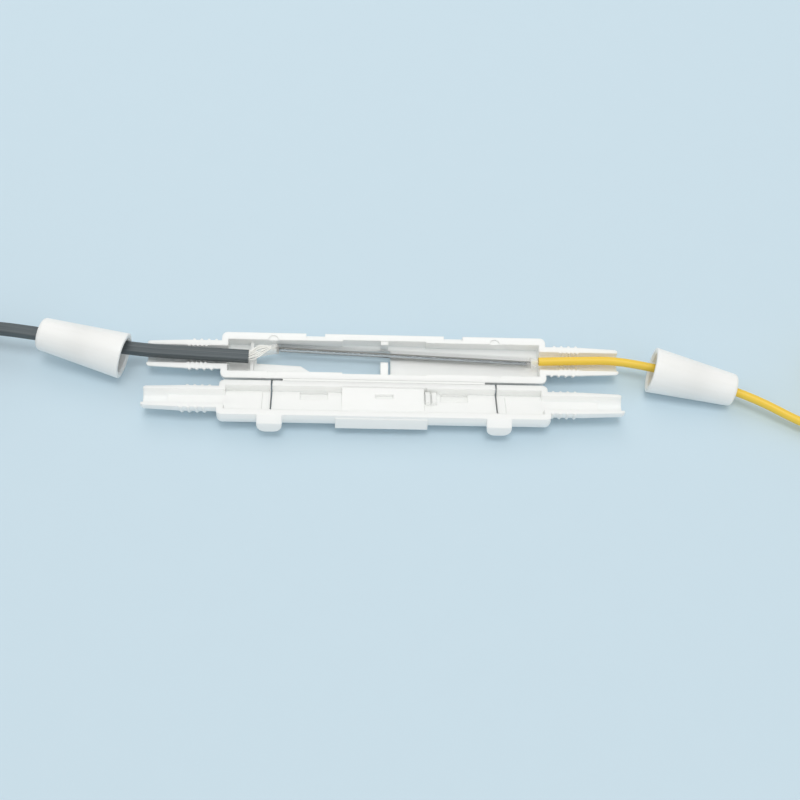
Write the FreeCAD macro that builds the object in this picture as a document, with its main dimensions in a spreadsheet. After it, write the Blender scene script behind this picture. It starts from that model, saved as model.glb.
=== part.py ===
import FreeCAD, Part

import math
import os
from types import SimpleNamespace

import Sketcher
from FreeCAD import Placement, Rotation, Vector

# Splice protector for a flat fibre drop cable and a round pigtail. Two half shells on a film hinge lie open
# like a book, with the fused splice in its shrink sleeve in the base half. Conical caps screw on the tails.
# X runs along the cables, the base half is on the +Y side, and Z is up from the table.

doc = FreeCAD.newDocument("drop_cable_splice_protector")
sheet = doc.addObject("Spreadsheet::Sheet", "sizes")

DRIVING_SIZES = {
    # place of the hinge line and how far each half lifts off the table
    "hinge_x": -1.281,
    "hinge_y": 0.609,
    "hinge_z": 3.7,
    "rest_tilt": 13.4,
    # half shell
    "half_length": 38.0,
    "half_width": 5.69,
    "depth": 4.6,
    "belly_radius": 3.5,
    "end_radius": 1.3,
    "rim_relief": 0.1,
    "wall": 1.5,
    "side_wall": 1.76,
    "hinge_gap": 0.55,
    "base_trough": 3.4,
    "lid_trough": 1.9,
    "bay_half_length": 9.8,
    "bay_recess": 0.3,
    # split tails
    "tail_tip": 55.1,
    "tail_root_radius": 3.55,
    "tail_tip_radius": 3.15,
    "tail_taper_start": 46.0,
    "tail_chamfer": 0.5,
    "bore_radius": 2.25,
    "teeth_start": 41.0,
    "teeth_pitch": 1.0,
    "teeth_height": 0.3,
    "thread_pitch": 1.7,
    "thread_start": 1.7,
    "ridge_radius": 0.35,
    # base half
    "window_left": -30.0,
    "window_right": 1.5,
    "window_far": 2.9,
    "window_near": 3.0,
    "ledge_left": 0.85,
    "ledge_right": 1.31,
    "ledge_end": -19.6,
    "ledge_slope": 2.6,
    "latch_x": 16.2,
    "notch_half_length": 2.2,
    "notch_depth": 1.0,
    "notch_height": 1.6,
    "dent_x": 26.0,
    "dent_radius": 1.15,
    "dent_depth": 0.5,
    "peg_half_length": 0.9,
    "peg_reach": 3.36,
    "peg_top": 0.9,
    "rib_reach": 0.9,
    "rib_top": 0.4,
    "stop_x": -31.4,
    "stop_thickness": 0.8,
    "stop_gap": 0.8,
    "stop_top": 1.9,
    # lid half
    "slit_half_width": 0.18,
    "lug_half_width": 2.85,
    "lug_reach": 1.5,
    "lug_depth": 4.0,
    "lug_round": 1.9,
    "lug_slope": 1.7,
    "bulge_left": 11.2,
    "bulge_right": 9.8,
    "bulge_reach": 0.2,
    "bulge_top": 0.7,
    "panel_right": 9.2,
    "panel_high": 0.5,
    "panel_low": 2.3,
    "panel_near": 3.4,
    "slot_half_length": 2.1,
    "slot_width": 1.0,
    "slot_depth": 0.5,
    "bar_x": 9.5,
    "bar_pitch": 1.45,
    "bar_length": 1.1,
    "bar_near": 0.2,
    "bar_top": 0.9,
    "recess_half_length": 3.2,
    "recess_near": 1.4,
    "recess_far": 3.8,
    "recess_depth": 0.6,
    "jaw_start": 28.0,
    "jaw_half_width": 3.0,
    "jaw_top": 1.42,
    "pad_end": 49.5,
    # film hinge
    "film_half_length": 23.5,
    "film_thickness": 0.35,
    "film_clearance": 0.03,
    # screw caps
    "cap_length": 20.0,
    "cap_mouth_radius": 5.35,
    "cap_end_radius": 3.85,
    "cap_hole_radius": 2.5,
    "cap_bore_radius": 4.0,
    "cap_thread_height": 0.35,
    "cap_thread_start": 2.0,
    "cap_neck": 11.5,
    "cap_throat": 16.5,
    "cap_lead_in": 0.45,
    "cap_end_round": 1.0,
    "cap_lift": 0.05,
    # splice sleeve
    "sleeve_length": 60.0,
    "sleeve_radius": 1.35,
    "sleeve_wall": 0.2,
    "rod_radius": 0.55,
    "rod_drop": 0.5,
    "rod_inset": 1.0,
    "fibre_radius": 0.125,
    "fibre_rise": 0.55,
    "bore_clearance": 0.03,
    "buffer_radius": 0.45,
    "joint_gap": 0.25,
    # cables
    "drop_width": 3.0,
    "drop_thickness": 2.0,
    "drop_corner": 0.45,
    "pigtail_radius": 1.0,
    # put-away hanks: turns beside and on each other, held by a tie
    "hank_layers": 2,
    "hank_lift": 0.45,
    "drop_hank_run": 40.0,
    "drop_hank_bend": 13.0,
    "pigtail_hank_run": 38.0,
    "pigtail_hank_bend": 13.3,
    "tie_length": 8.0,
    "tie_thickness": 0.4,
    # connectors
    "connector_length": 24.0,
    "connector_width": 9.0,
    "connector_height": 7.4,
    "connector_chamfer": 0.9,
    "nose_length": 3.0,
    "nose_width": 7.0,
    "nose_height": 5.4,
    "grip_pitch": 1.8,
    "grip_length": 0.9,
    "grip_depth": 0.4,
    "boot_length": 16.0,
    "boot_root_radius": 3.1,
    "boot_tip_radius": 2.2,
    "boot_ring_pitch": 2.8,
    "boot_ring_depth": 0.45,
    "boot_bore_radius": 1.7,
    "boot_bore_depth": 3.2,
    "ferrule_radius": 1.25,
    "ferrule_reach": 5.0,
    "ferrule_stem_radius": 1.0,
    "ferrule_chamfer": 0.3,
}


class Size:
    """A length in millimetres, with the sheet formula that gives it."""

    def __init__(self, value, text):
        self.value = value
        self.text = text

    @staticmethod
    def of(other):
        return other if isinstance(other, Size) else Size(float(other), f"({other})")

    def __add__(self, other):
        other = Size.of(other)
        return Size(self.value + other.value, f"({self.text} + {other.text})")

    def __sub__(self, other):
        other = Size.of(other)
        return Size(self.value - other.value, f"({self.text} - {other.text})")

    def __mul__(self, other):
        other = Size.of(other)
        return Size(self.value * other.value, f"({self.text} * {other.text})")

    def __neg__(self):
        return Size(-self.value, f"(-1 * {self.text})")

    def cos(self):
        return Size(math.cos(math.radians(self.value)), f"cos({self.text})")

    def sin(self):
        return Size(math.sin(math.radians(self.value)), f"sin({self.text})")


def fill_sheet():
    """Put the driving sizes in the sheet, one alias to a row, and return them as Size values."""
    found = SimpleNamespace()
    for row, (alias, value) in enumerate(DRIVING_SIZES.items(), 1):
        sheet.set(f"A{row}", alias)
        sheet.set(f"B{row}", str(value))
        sheet.setAlias(f"B{row}", alias)
        setattr(found, alias, Size(value, f"sizes.{alias}"))
    doc.recompute()
    return found


dim = fill_sheet()
subparts = []


# Sketch and feature helpers


def new_body(label):
    """Start a sub-part."""
    body = doc.addObject("PartDesign::Body", label)
    body.Label = label
    subparts.append(body)
    return body


def origin_of(body, role):
    return next(feature for feature in body.Origin.OriginFeatures if feature.Role == role)


def sketch_on(body, role, name, lift=None):
    """Start a sketch on one of the body's own planes, lifted along its normal."""
    sketch = body.newObject("Sketcher::SketchObject", name)
    sketch.AttachmentSupport = [(origin_of(body, role), "")]
    sketch.MapMode = "FlatFace"
    if lift is not None:
        sketch.setExpression("AttachmentOffset.Base.z", lift.text)
    return sketch


def bind_point(sketch, geometry, point, x, y):
    """Hold a point of a sketch at sheet values from the sketch's origin."""
    for kind, size in (("DistanceX", x), ("DistanceY", y)):
        number = sketch.addConstraint(Sketcher.Constraint(kind, -1, 1, geometry, point, size.value))
        sketch.setExpression(f"Constraints[{number}]", size.text)


def outline(sketch, points):
    """Draw a closed outline through corners that follow the sheet."""
    corners = [(Size.of(x), Size.of(y)) for x, y in points]
    first = sketch.GeometryCount
    count = len(corners)
    for index, (x, y) in enumerate(corners):
        end_x, end_y = corners[(index + 1) % count]
        start = Vector(x.value, y.value)
        end = Vector(end_x.value, end_y.value)
        sketch.addGeometry(Part.LineSegment(start, end))
    for index in range(count):
        joint = (first + index, 2, first + (index + 1) % count, 1)
        sketch.addConstraint(Sketcher.Constraint("Coincident", *joint))
    for index, (x, y) in enumerate(corners):
        bind_point(sketch, first + index, 1, x, y)


def rectangle(sketch, left, right, low, high):
    outline(sketch, [(left, low), (right, low), (right, high), (left, high)])


def circle(sketch, x, y, radius):
    """Draw a circle whose centre and radius follow the sheet."""
    x, y = Size.of(x), Size.of(y)
    centre = Vector(x.value, y.value)
    index = sketch.addGeometry(Part.Circle(centre, Vector(0, 0, 1), radius.value))
    bind_point(sketch, index, 3, x, y)
    number = sketch.addConstraint(Sketcher.Constraint("Radius", index, radius.value))
    sketch.setExpression(f"Constraints[{number}]", radius.text)


def feature_of(body, kind, name, sketch):
    feature = body.newObject(f"PartDesign::{kind}", name)
    feature.Profile = sketch
    return feature


def pad(body, name, sketch, length, downward=False):
    feature = feature_of(body, "Pad", name, sketch)
    feature.setExpression("Length", length.text)
    feature.Reversed = downward
    return feature


def pocket(body, name, sketch, length=None, upward=False):
    """Cut along the sketch's normal, to a depth or right through."""
    feature = feature_of(body, "Pocket", name, sketch)
    if length is None:
        feature.Type = "ThroughAll"
    else:
        feature.setExpression("Length", length.text)
    feature.Reversed = upward
    return feature


def turned(body, kind, name, sketch, role="X_Axis"):
    """Turn a profile right round one of the body's axes, as a Revolution or a Groove."""
    feature = feature_of(body, kind, name, sketch)
    feature.ReferenceAxis = (origin_of(body, role), [""])
    feature.Angle = 360
    return feature


def round_edges(body, name, base, radius, test, kind="Fillet"):
    """Round, or chamfer, the edges of a feature that pass a test."""
    doc.recompute()
    edges = [f"Edge{number}" for number, edge in enumerate(base.Shape.Edges, 1) if test(edge)]
    feature = body.newObject(f"PartDesign::{kind}", name)
    feature.Base = (base, edges)
    feature.setExpression("Radius" if kind == "Fillet" else "Size", radius.text)
    doc.recompute()
    return feature


def at_x(edge, x):
    return all(abs(vertex.X - x) < 1e-6 for vertex in edge.Vertexes)


def at_z(edge, z):
    return all(abs(vertex.Z - z) < 1e-6 for vertex in edge.Vertexes)


# Places of the two halves


def half_placement(side):
    """Stand a half shell on its belly, hinged at its rim. side is 1 for the base and -1 for the lid."""
    tilt = Rotation(Vector(1, 0, 0), side * dim.rest_tilt.value)
    hinge = Vector(dim.hinge_x.value, dim.hinge_y.value, dim.hinge_z.value)
    middle = Vector(0, side * (dim.hinge_gap.value / 2 + dim.half_width.value), 0)
    return Placement(hinge + tilt.multVec(middle), tilt)


BASE_PLACE = half_placement(1)
LID_PLACE = half_placement(-1)


def on_hinge_line(x, y, z):
    """A point given from the hinge line, with its height above the table."""
    return Vector(x + dim.hinge_x.value, y + dim.hinge_y.value, z)


# Half shells


def thread_ridges(body, name, start, step):
    """Ridges of the split thread: rings leaning by half a pitch in a half turn, repeated along the tail."""
    ring = body.newObject("PartDesign::AdditiveTorus", name)
    ring.AttachmentSupport = [(origin_of(body, "YZ_Plane"), "")]
    ring.MapMode = "FlatFace"
    ring.setExpression("Radius1", dim.tail_root_radius.text)
    ring.setExpression("Radius2", dim.ridge_radius.text)
    lean = math.degrees(math.atan2(dim.thread_pitch.value / 2, 2 * dim.tail_root_radius.value))
    ring.AttachmentOffset = Placement(Vector(0, 0, start.value), Rotation(Vector(0, 1, 0), -lean))
    ring.setExpression("AttachmentOffset.Base.z", start.text)
    doc.recompute()
    ridges = body.newObject("PartDesign::LinearPattern", name + "_pattern")
    ridges.Originals = [ring]
    ridges.Direction = (origin_of(body, "X_Axis"), [""])
    ridges.Reversed = step < 0
    ridges.setExpression("Length", (dim.thread_pitch * 3).text)
    ridges.Occurrences = 4
    body.Tip = ridges
    doc.recompute()


def tail_profile(side):
    """Half section of a tail: straight under the thread, then a tapered nose with a chamfered tip."""
    tip = dim.tail_tip
    points = [
        (dim.half_length - dim.wall, 0),
        (dim.half_length - dim.wall, dim.tail_root_radius),
        (dim.tail_taper_start, dim.tail_root_radius),
        (tip - dim.tail_chamfer, dim.tail_tip_radius),
        (tip, dim.tail_tip_radius - dim.tail_chamfer * 0.6),
        (tip, 0),
    ]
    return [(Size.of(x) * side, y) for x, y in points]


def bore_profile(side, toothed):
    """Half section of the cable channel, with a row of grip teeth pointing inwards."""
    inner = dim.half_length - dim.wall - 0.5
    outer = dim.tail_tip + 0.5
    points = [(inner, 0), (inner, dim.bore_radius)]
    if toothed:
        crest = dim.bore_radius - dim.teeth_height
        for tooth in range(5):
            start = dim.teeth_start + dim.teeth_pitch * tooth
            points.append((start, dim.bore_radius))
            points.append((start + dim.teeth_pitch * 0.6, crest))
        points.append((dim.teeth_start + dim.teeth_pitch * 5, dim.bore_radius))
    points += [(outer, dim.bore_radius), (outer, 0)]
    return [(Size.of(x) * side, y) for x, y in points]


def half_shell(label, trough_depth, thread_shift, toothed):
    """One half of the box: a rounded channel with closed ends, threaded half tails and the trough."""
    body = new_body(label)
    plan = sketch_on(body, "XY_Plane", "plan", -dim.rim_relief)
    rectangle(plan, -dim.half_length, dim.half_length, -dim.half_width, dim.half_width)
    block = pad(body, "block", plan, dim.depth - dim.rim_relief, downward=True)

    def along_belly(edge):
        long_edge = abs(edge.Length - 2 * dim.half_length.value) < 1e-6
        return long_edge and at_z(edge, -dim.depth.value)

    belly = round_edges(body, "belly", block, dim.belly_radius, along_belly)

    def round_end(edge):
        at_end = at_x(edge, dim.half_length.value) or at_x(edge, -dim.half_length.value)
        return at_end and not at_z(edge, -dim.rim_relief.value)

    round_edges(body, "ends", belly, dim.end_radius, round_end)

    sections = sketch_on(body, "XY_Plane", "tail_sections")
    for side in (-1, 1):
        outline(sections, tail_profile(side))
    turned(body, "Revolution", "tails", sections)
    first_ridge = dim.half_length + dim.thread_start + thread_shift
    thread_ridges(body, "right_ridge", first_ridge, 1)
    thread_ridges(body, "left_ridge", -first_ridge + thread_shift * 2, -1)

    parting = sketch_on(body, "XY_Plane", "parting", -dim.rim_relief)
    beyond = dim.tail_tip + 1
    rectangle(parting, -beyond, beyond, -dim.half_width, dim.half_width)
    pocket(body, "parting_cut", parting, upward=True)

    hollow = sketch_on(body, "XY_Plane", "hollow")
    end = dim.half_length - dim.wall
    side = dim.half_width - dim.side_wall
    bay_end = dim.bay_half_length
    bay_side = side + dim.bay_recess
    near = [(-end, -side), (-bay_end, -side), (-bay_end, -bay_side)]
    near += [(bay_end, -bay_side), (bay_end, -side), (end, -side)]
    far = [(-x, -y) for x, y in near]
    outline(hollow, near + far)
    pocket(body, "trough", hollow, trough_depth)

    channels = sketch_on(body, "XY_Plane", "channel_sections")
    for side_sign in (-1, 1):
        outline(channels, bore_profile(side_sign, toothed))
    turned(body, "Groove", "channels", channels)
    doc.recompute()
    return body


def raise_blocks(body, name, boxes, foot, top):
    """Raise blocks with a common top from below the trough floor. A box gives left, right, low, high."""
    plan = sketch_on(body, "XY_Plane", name + "_plan", -foot)
    for box in boxes:
        rectangle(plan, *box)
    return pad(body, name, plan, foot - top)


def both_ends(left, right, low, high):
    """A box on the right and its mirror image on the left."""
    return [(left, right, low, high), (-right, -left, low, high)]


def base_half():
    body = half_shell("base_shell", dim.base_trough, Size.of(0), True)
    inner_side = dim.half_width - dim.side_wall
    bay_side = inner_side + dim.bay_recess

    window = sketch_on(body, "XY_Plane", "window_plan")
    ledge_foot = dim.ledge_end + dim.ledge_slope
    near = [(dim.window_left, -dim.ledge_left), (dim.ledge_end, -dim.ledge_right)]
    near += [(ledge_foot, -dim.window_near), (dim.window_right, -dim.window_near)]
    far = [(dim.window_right, dim.window_far), (dim.window_left, dim.window_far)]
    outline(window, near + far)
    pocket(body, "floor_window", window)

    notches = sketch_on(body, "XY_Plane", "notch_plan")
    reach = dim.notch_half_length
    for box in both_ends(
        dim.latch_x - reach, dim.latch_x + reach, dim.half_width - dim.notch_depth, dim.half_width + 1
    ):
        rectangle(notches, *box)
    pocket(body, "latch_notches", notches, dim.notch_height)

    dents = sketch_on(body, "XY_Plane", "dent_plan")
    for x in (dim.dent_x, -dim.dent_x):
        for y in (inner_side, -inner_side):
            circle(dents, x, y, dim.dent_radius)
    pocket(body, "rim_dents", dents, dim.dent_depth)

    floor = dim.base_trough + 0.2
    half_peg = dim.peg_half_length
    peg = [(-half_peg, half_peg, -bay_side - 0.2, -bay_side + dim.peg_reach)]
    raise_blocks(body, "centre_peg", peg, floor, dim.peg_top)
    rib = [(-half_peg, half_peg, bay_side - dim.rib_reach, bay_side + 0.2)]
    raise_blocks(body, "centre_rib", rib, floor, dim.rib_top)
    stop_end = dim.stop_x + dim.stop_thickness
    stops = [
        (dim.stop_x, stop_end, -inner_side - 0.2, -dim.stop_gap),
        (dim.stop_x, stop_end, dim.stop_gap, inner_side + 0.2),
    ]
    raise_blocks(body, "jacket_stops", stops, floor, dim.stop_top)
    body.Placement = BASE_PLACE


def lid_half():
    """The lid carries its hinge on its +Y side, so its free edge is on the -Y side."""
    half_pitch = dim.thread_pitch * 0.5
    body = half_shell("lid_shell", dim.lid_trough, -half_pitch, False)
    inner_side = dim.half_width - dim.side_wall
    floor = dim.lid_trough + 0.2

    panel_left = dim.bay_half_length
    bay_side = inner_side + dim.bay_recess
    panel = sketch_on(body, "YZ_Plane", "panel_section", -panel_left)
    slope = [
        (bay_side + 0.2, -floor),
        (bay_side + 0.2, -dim.panel_high),
        (bay_side - 0.3, -dim.panel_high),
        (-dim.panel_near, -dim.panel_low),
        (-dim.panel_near, -dim.panel_low - 0.5),
        (0, -floor - 0.7),
    ]
    outline(panel, slope)
    pad(body, "centre_panel", panel, panel_left + dim.panel_right)
    slot = sketch_on(body, "XY_Plane", "panel_slot_plan", -dim.panel_high)
    half_slot = dim.slot_half_length
    rectangle(slot, -half_slot, half_slot, dim.recess_near, dim.recess_near + dim.slot_width)
    pocket(body, "panel_slot", slot, dim.panel_high + dim.slot_depth)
    bars = []
    for number in range(2):
        start = dim.bar_x + dim.bar_pitch * number
        bars.append((start, start + dim.bar_length, dim.bar_near, inner_side - 0.4))
    raise_blocks(body, "cross_bars", bars, floor, dim.bar_top)
    jaw_end = dim.half_length - dim.wall + 0.2
    jaws = both_ends(dim.jaw_start, jaw_end, -dim.jaw_half_width, dim.jaw_half_width)
    raise_blocks(body, "clamp_jaws", jaws, floor, dim.jaw_top)
    pad_side = dim.bore_radius
    pads = both_ends(dim.half_length - dim.wall, dim.pad_end, -pad_side, pad_side)
    raise_blocks(body, "clamp_pads", pads, dim.bore_radius + 0.1, dim.jaw_top)

    recesses = sketch_on(body, "XY_Plane", "recess_plan", -dim.lid_trough)
    reach = dim.recess_half_length
    for box in both_ends(dim.latch_x - reach, dim.latch_x + reach, dim.recess_near, dim.recess_far):
        rectangle(recesses, *box)
    pocket(body, "floor_recesses", recesses, dim.recess_depth)

    slits = sketch_on(body, "XY_Plane", "slit_plan")
    thin = dim.slit_half_width
    for box in both_ends(dim.dent_x - thin, dim.dent_x + thin, -inner_side, dim.half_width + 1):
        rectangle(slits, *box)
    pocket(body, "relief_slits", slits)

    lugs = sketch_on(body, "XZ_Plane", "lug_outline", dim.half_width - dim.wall * 0.5)
    half_lug = dim.lug_half_width
    corner = dim.lug_round
    for x in (dim.dent_x, -dim.dent_x):
        low = -dim.lug_depth
        left = [(x - half_lug, -dim.rim_relief)]
        right = [(x + half_lug, -dim.rim_relief)]
        for angle in (0, 22.5, 45, 67.5, 90):
            inward = corner * round(1 - math.cos(math.radians(angle)), 4)
            upward = corner * round(1 - math.sin(math.radians(angle)), 4)
            left.append((x - half_lug + inward, low + upward))
            right.append((x + half_lug - inward, low + upward))
        outline(lugs, left + right[::-1])
    pad(body, "thumb_lugs", lugs, dim.lug_reach + dim.wall * 0.5)
    outer = dim.half_width
    beyond = dim.lug_slope + 0.4
    slope_cut = sketch_on(body, "YZ_Plane", "lug_slope_section", -dim.half_length)
    wedge = [(-outer, 0), (-outer, -dim.rim_relief), (-outer - beyond, -beyond), (-outer - beyond, 0)]
    outline(slope_cut, wedge)
    pocket(body, "lug_slopes", slope_cut, dim.half_length * 2, upward=True)

    bulge = sketch_on(body, "YZ_Plane", "bulge_section", -dim.bulge_left)
    reach = outer + dim.bulge_reach
    low = dim.depth - dim.bulge_reach
    section = [
        (-outer + 0.5, -dim.bulge_top),
        (-outer, -dim.bulge_top),
        (-reach, -dim.bulge_top - dim.bulge_reach),
        (-reach, -low + 0.6),
        (-reach + 0.6, -low),
        (-outer + dim.belly_radius, -low),
        (-outer + dim.belly_radius, -dim.lid_trough - 0.6),
        (-outer + 0.5, -dim.lid_trough),
    ]
    outline(bulge, section)
    pad(body, "middle_bulge", bulge, dim.bulge_left + dim.bulge_right)
    doc.recompute()
    body.Placement = LID_PLACE


def film_hinge():
    """The thin web between the two rims: a section from wall to wall, padded along the hinge line."""
    body = new_body("hinge_film")
    cos, sin = dim.rest_tilt.cos(), dim.rest_tilt.sin()
    half_gap = dim.hinge_gap * 0.5
    top = dim.rim_relief
    low = dim.rim_relief + dim.film_thickness

    def wall_point(depth, clearance):
        """Where the tilted hinge-side wall of the base is, at a depth under the rim."""
        return half_gap * cos + depth * sin - clearance, half_gap * sin - depth * cos

    section = sketch_on(body, "YZ_Plane", "web_section", -dim.film_half_length)
    top_y, top_z = wall_point(top, Size.of(0))
    low_y, low_z = wall_point(low, Size.of(0))
    lid_top_y, _ = wall_point(top, dim.film_clearance)
    lid_low_y, _ = wall_point(low, dim.film_clearance)
    outline(section, [(-lid_low_y, low_z), (low_y, low_z), (top_y, top_z), (-lid_top_y, top_z)])
    pad(body, "web", section, dim.film_half_length * 2)
    body.Placement = Placement(on_hinge_line(0, 0, dim.hinge_z.value), Rotation())


# Screw caps


def screw_cap(label, mouth, end):
    """A conical cap with a threaded bore, its axis from mouth to end."""
    body = new_body(label)
    section = sketch_on(body, "XY_Plane", "cap_section")
    bore = dim.cap_bore_radius
    crest = bore - dim.cap_thread_height
    points = [
        (0, bore + dim.cap_lead_in),
        (0, dim.cap_mouth_radius),
        (dim.cap_length, dim.cap_end_radius),
        (dim.cap_length, dim.cap_hole_radius),
        (dim.cap_throat, dim.cap_hole_radius),
        (dim.cap_neck, bore - dim.cap_thread_height * 0.5),
    ]
    for ridge in reversed(range(4)):
        middle = dim.cap_thread_start + dim.thread_pitch * (ridge + 0.5)
        points.append((middle + dim.thread_pitch * 0.42, bore))
        points.append((middle, crest))
        points.append((middle - dim.thread_pitch * 0.42, bore))
    points.append((dim.cap_lead_in, bore))
    outline(section, points)
    cone = turned(body, "Revolution", "cone", section)

    def outer_end_edge(edge):
        radius = getattr(edge.Curve, "Radius", 0)
        return at_x(edge, dim.cap_length.value) and abs(radius - dim.cap_end_radius.value) < 1e-6

    round_edges(body, "end_round", cone, dim.cap_end_round, outer_end_edge)
    axis = end - mouth
    body.Placement = Placement(mouth, Rotation(Vector(1, 0, 0), axis))


def lying_cap(label, mouth_xy, end_xy):
    """Lay a cap on its side: its lowest line touches the table, but for a small lift."""
    fall = math.atan2(dim.cap_mouth_radius.value - dim.cap_end_radius.value, dim.cap_length.value)
    lift = dim.cap_lift.value
    heading = Vector(end_xy[0] - mouth_xy[0], end_xy[1] - mouth_xy[1], 0).normalize()
    mouth_height = dim.cap_mouth_radius.value * math.cos(fall) + lift
    mouth = on_hinge_line(mouth_xy[0], mouth_xy[1], mouth_height)
    axis = heading * math.cos(fall) - Vector(0, 0, math.sin(fall))
    screw_cap(label, mouth, mouth + axis * dim.cap_length.value)


# Splice sleeve


def in_base(x, y, z):
    """A point of the base half's own frame, on the table."""
    return BASE_PLACE.multVec(Vector(x, y, z))


SLEEVE_LEFT = in_base(-25.4, 2.48, -2.0)
SLEEVE_RIGHT_SIDE = in_base(34.6, -0.4, -0.62)
JACKET_END = in_base(36.3, -0.15, -0.3)
DROP_END = in_base(-31.6, -0.45, 0.0)


def along(start, towards):
    """A placement at start whose X points towards another point and whose Z leans with the base half."""
    heading = (towards - start).normalize()
    up = BASE_PLACE.Rotation.multVec(Vector(0, 0, 1))
    side = up.cross(heading).normalize()
    return Placement(start, Rotation(heading, side, heading.cross(side), "XYZ"))


SLEEVE_PLACE = along(SLEEVE_LEFT, SLEEVE_RIGHT_SIDE)


def sleeve_piece(label, start, length, circles):
    """A round piece along the sleeve: a section of one or more circles on its end plane, padded."""
    body = new_body(label)
    section = sketch_on(body, "YZ_Plane", "ring_section", start)
    for y, z, radius in circles:
        circle(section, y, z, radius)
    pad(body, "length", section, length)
    body.Placement = SLEEVE_PLACE


def splice_sleeve():
    zero = Size.of(0)
    lining = dim.sleeve_radius - dim.sleeve_wall
    rod_y = -dim.rod_drop
    clearance = dim.bore_clearance
    sleeve_piece("sleeve_tube", zero, dim.sleeve_length, [(0, 0, dim.sleeve_radius), (0, 0, lining)])
    holes = [(0, rod_y, dim.rod_radius + clearance), (0, dim.fibre_rise, dim.fibre_radius + clearance)]
    sleeve_piece("sleeve_lining", zero, dim.sleeve_length, [(0, 0, lining - clearance)] + holes)
    rod_length = dim.sleeve_length - dim.rod_inset * 2
    sleeve_piece("sleeve_rod", dim.rod_inset, rod_length, [(0, rod_y, dim.rod_radius)])


# Cables


def rounded_path(name, points):
    """Straight runs joined by the largest even arcs: each takes 0.45 of its shorter run on both sides."""
    edges = []
    start = points[0]
    radii = []
    for before, corner, after in zip(points, points[1:], points[2:]):
        arrive = corner - before
        leave = after - corner
        turn = arrive.getAngle(leave)
        setback = 0.45 * min(arrive.Length, leave.Length)
        radius = setback / math.tan(turn / 2)
        radii.append(round(radius, 1))
        arrive.normalize()
        leave.normalize()
        arc_start = corner - arrive * setback
        arc_end = corner + leave * setback
        inward = (leave - arrive).normalize()
        arc_middle = corner + inward * (radius / math.cos(turn / 2) - radius)
        edges.append(Part.LineSegment(start, arc_start).toShape())
        edges.append(Part.Arc(arc_start, arc_middle, arc_end).toShape())
        start = arc_end
    edges.append(Part.LineSegment(start, points[-1]).toShape())
    print(name, "bend radii", radii)
    return Part.Wire(edges)


def flat_section(width, thickness, corner):
    """Section of the flat drop cable: a rectangle with rounded corners, its wide side along Y."""
    block = Part.makeBox(1, width, thickness, Vector(-1, -width / 2, -thickness / 2))
    uprights = [edge for edge in block.Edges if abs(edge.BoundBox.XLength - 1) < 1e-6]
    rounded = block.makeFillet(corner, uprights)
    face = next(face for face in rounded.Faces if abs(face.CenterOfMass.x) < 1e-6)
    return face.OuterWire


def round_section(radius):
    return Part.Wire(Part.makeCircle(radius, Vector(0, 0, 0), Vector(1, 0, 0)))


def cable(label, points, section):
    """A cable with an upright section carried along its route."""
    path = rounded_path(label, points)
    heading = (points[1] - points[0]).normalize()
    side = Vector(0, 0, 1).cross(heading).normalize()
    section.Placement = Placement(points[0], Rotation(heading, side, heading.cross(side), "XYZ"))
    pipe = Part.BRepOffsetAPI.MakePipeShell(path)
    pipe.setBiNormalMode(Vector(0, 0, 1))
    pipe.add(section)
    pipe.build()
    pipe.makeSolid()
    solid = pipe.shape()
    plain = Part.Face(section).Area * path.Length
    print(label, "volume", round(solid.Volume, 1), "section times length", round(plain, 1))
    feature = doc.addObject("Part::Feature", label)
    feature.Label = label
    feature.Shape = solid
    subparts.append(feature)


# Routes from the splice outwards, from the hinge line, with heights above the table
DROP_ROUTE = [
    (-44.5, 5.93, 5.09),
    (-58.5, 6.43, 5.36),
    (-82.5, 9.03, 7.9),
    (-93.0, 10.62, 7.2),
    (-102.5, 13.75, 4.0),
    (-110.0, 14.95, 2.1),
    (-115.0, 15.0, 1.95),
]
PIGTAIL_ROUTE = [
    (44.5, 6.02, 4.95),
    (57.5, 6.38, 5.03),
    (83.5, -0.83, 4.1),
    (99.5, -10.12, 2.6),
    (110.5, -12.7, 1.6),
    (118.0, -12.6, 1.45),
]
# Middle of each hank, from the hinge line
DROP_HANK = (-132.0, 2.0)
PIGTAIL_HANK = (136.5, 0.7)


def cables():
    drop_section = flat_section(dim.drop_width.value, dim.drop_thickness.value, dim.drop_corner.value)
    drop_points = [DROP_END] + [on_hinge_line(*point) for point in DROP_ROUTE]
    cable("drop_cable", drop_points, drop_section)
    pigtail_points = [JACKET_END] + [on_hinge_line(*point) for point in PIGTAIL_ROUTE]
    cable("pigtail_cable", pigtail_points, round_section(dim.pigtail_radius.value))

    gap = dim.joint_gap.value
    fibre_start = DROP_END + Vector(gap, 0, 0)
    sleeve_entry = SLEEVE_PLACE.multVec(Vector(-1.4, 0, dim.fibre_rise.value))
    sleeve_end = SLEEVE_PLACE.multVec(Vector(dim.sleeve_length.value - gap, 0, dim.fibre_rise.value))
    fibre_points = [fibre_start, in_base(-30.0, -0.1, -0.15), sleeve_entry, sleeve_end]
    cable("splice_fibre", fibre_points, round_section(dim.fibre_radius.value))

    buffer_start = SLEEVE_PLACE.multVec(Vector(dim.sleeve_length.value + gap, 0, 0))
    buffer_end = JACKET_END - (JACKET_END - buffer_start).normalize() * gap
    body = new_body("pigtail_buffer")
    section = sketch_on(body, "YZ_Plane", "buffer_section")
    circle(section, 0, 0, dim.buffer_radius)
    pad(body, "length", section, Size.of(round((buffer_end - buffer_start).Length, 3)))
    body.Placement = along(buffer_start, buffer_end)


# Put-away hanks and connectors


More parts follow.
